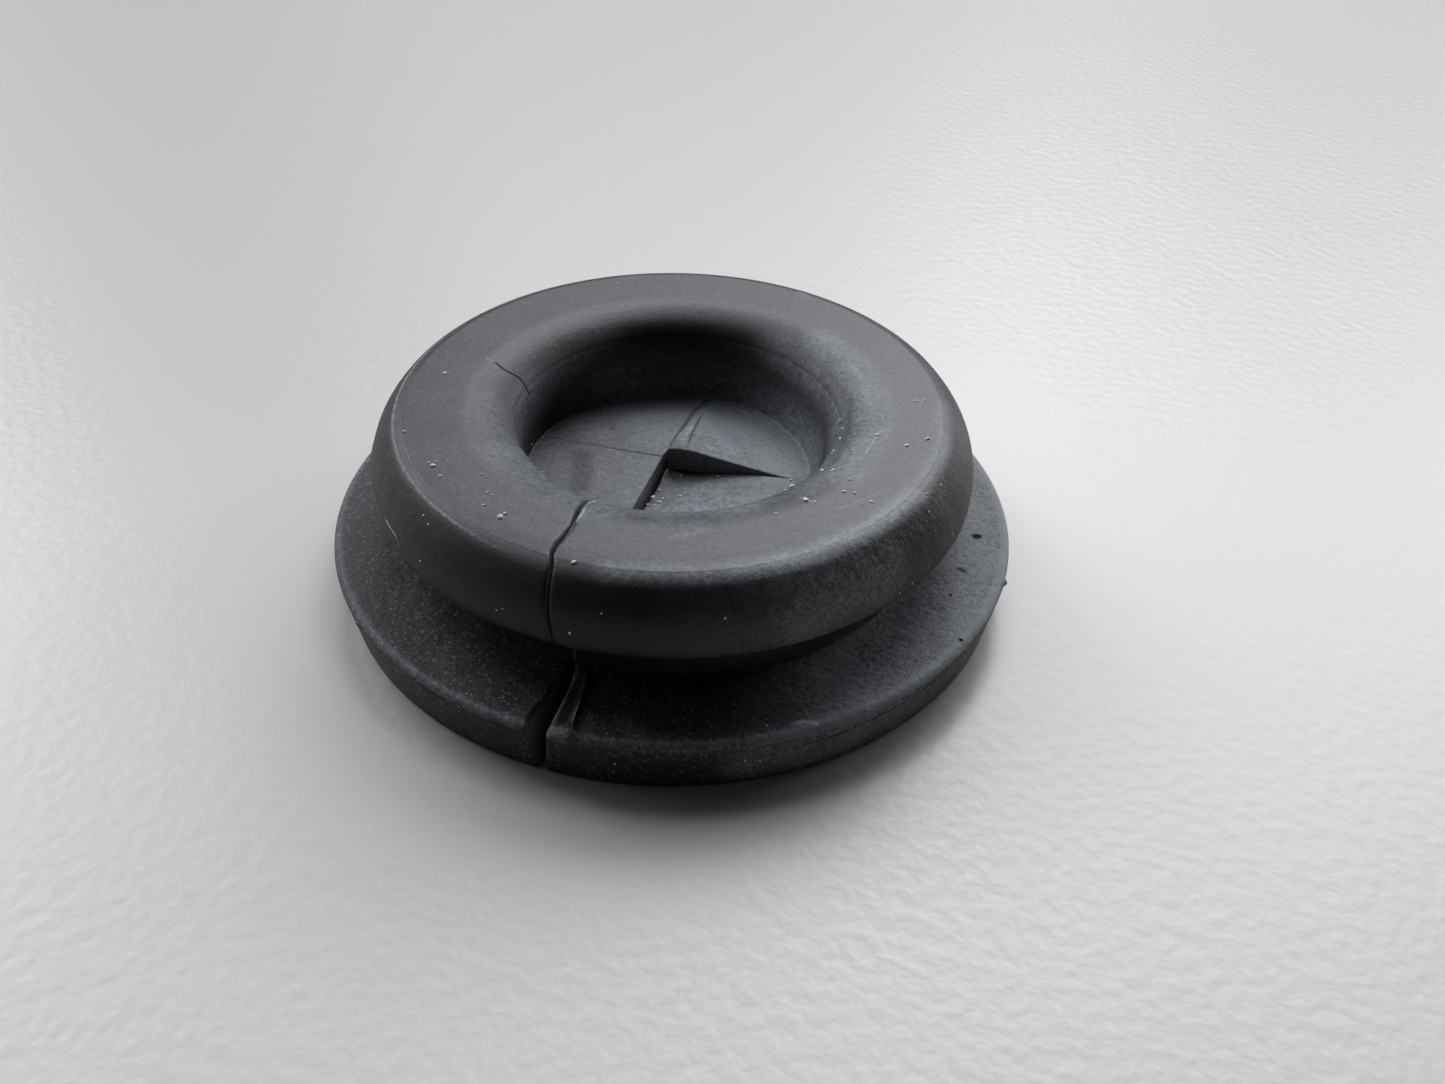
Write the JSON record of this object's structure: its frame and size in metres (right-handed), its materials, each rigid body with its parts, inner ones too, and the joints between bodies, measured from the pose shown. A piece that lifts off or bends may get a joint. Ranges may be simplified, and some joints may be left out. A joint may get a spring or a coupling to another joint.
{
  "type": "split membrane rubber grommet",
  "caption": "Round rubber cable grommet with a panel groove, a wider lower flange, a rounded head, a slit wall and a cross-cut membrane in its bore.",
  "frame": {"origin": "middle of the underside of the lower flange, on the axis of the bore", "axes": "+Z along the axis, from the lower flange to the head; -Y towards the slit in the wall; +X to the right of the slit seen from outside"},
  "size_m": [0.032, 0.032, 0.0086],
  "materials": {
    "rubber": "matte moulded black rubber, lightly dusty"
  },
  "bodies": {
    "root": {"grommet": "rubber"}
  },
  "joints": []
}
